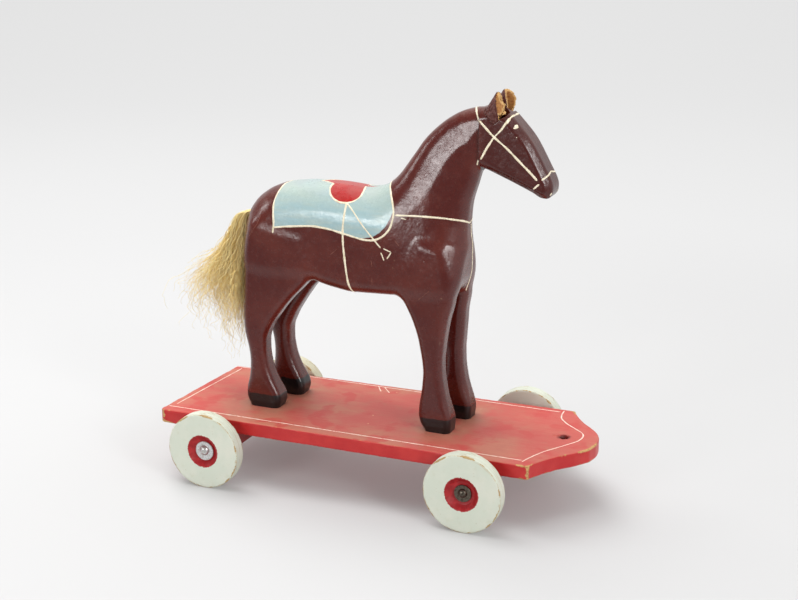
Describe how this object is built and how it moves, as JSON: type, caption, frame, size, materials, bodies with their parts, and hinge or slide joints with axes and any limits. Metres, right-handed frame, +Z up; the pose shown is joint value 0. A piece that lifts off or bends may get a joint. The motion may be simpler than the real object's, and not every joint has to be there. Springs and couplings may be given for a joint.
{
  "type": "pull-along horse",
  "caption": "Painted wooden pull-along horse on a board with free-turning disc wheels, leather ears and a sisal tail.",
  "frame": {"origin": "on the ground under the middle of the board", "axes": "+X the way the toy is pulled, +Y the horse's left, +Z up"},
  "size_m": [0.3389, 0.16, 0.31],
  "materials": {
    "red_paint": "worn red paint on wood",
    "brown_paint": "glossy brown paint on carved wood",
    "mint_paint": "pale green paint on wood, worn at the edges",
    "bare_wood": "plain",
    "leather": "painted outside, raw inside",
    "sisal": "loose straw-coloured fibre",
    "bright_steel": "zinc plated",
    "dark_steel": "dulled"
  },
  "bodies": {
    "toy": {"board": "red_paint", "front_axle_block": "red_paint", "rear_axle_block": "red_paint", "horse_core": "brown_paint", "horse_left_side": "brown_paint", "horse_right_side": "brown_paint", "horse_head": "brown_paint", "left_ear": "leather", "right_ear": "leather", "tail": "sisal", "tail_peg": "bare_wood", "head_dowel": "bare_wood", "front_block_screws": "bright_steel", "rear_block_screws": "bright_steel", "front_left_washer": "dark_steel", "front_left_wheel_screw": "dark_steel", "front_left_hoof_screw": "bright_steel", "front_right_washer": "dark_steel", "front_right_wheel_screw": "dark_steel", "front_right_hoof_screw": "bright_steel", "rear_left_washer": "bright_steel", "rear_left_wheel_screw": "bright_steel", "rear_left_hoof_screw": "bright_steel", "rear_right_washer": "bright_steel", "rear_right_wheel_screw": "bright_steel", "rear_right_hoof_screw": "bright_steel"},
    "front_left_wheel": {"front_left_wheel": "mint_paint"},
    "front_right_wheel": {"front_right_wheel": "mint_paint"},
    "rear_left_wheel": {"rear_left_wheel": "mint_paint"},
    "rear_right_wheel": {"rear_right_wheel": "mint_paint"}
  },
  "joints": [
    {"name": "front_left_wheel_spin", "type": "hinge", "parent": "toy", "child": "front_left_wheel", "pos_m": [0.0907, 0.0743, 0.03], "axis": [0, 1, 0], "continuous": true},
    {"name": "front_right_wheel_spin", "type": "hinge", "parent": "toy", "child": "front_right_wheel", "pos_m": [0.0907, -0.0743, 0.03], "axis": [0, 1, 0], "continuous": true},
    {"name": "rear_left_wheel_spin", "type": "hinge", "parent": "toy", "child": "rear_left_wheel", "pos_m": [-0.1227, 0.0743, 0.03], "axis": [0, 1, 0], "continuous": true},
    {"name": "rear_right_wheel_spin", "type": "hinge", "parent": "toy", "child": "rear_right_wheel", "pos_m": [-0.1227, -0.0743, 0.03], "axis": [0, 1, 0], "continuous": true}
  ]
}
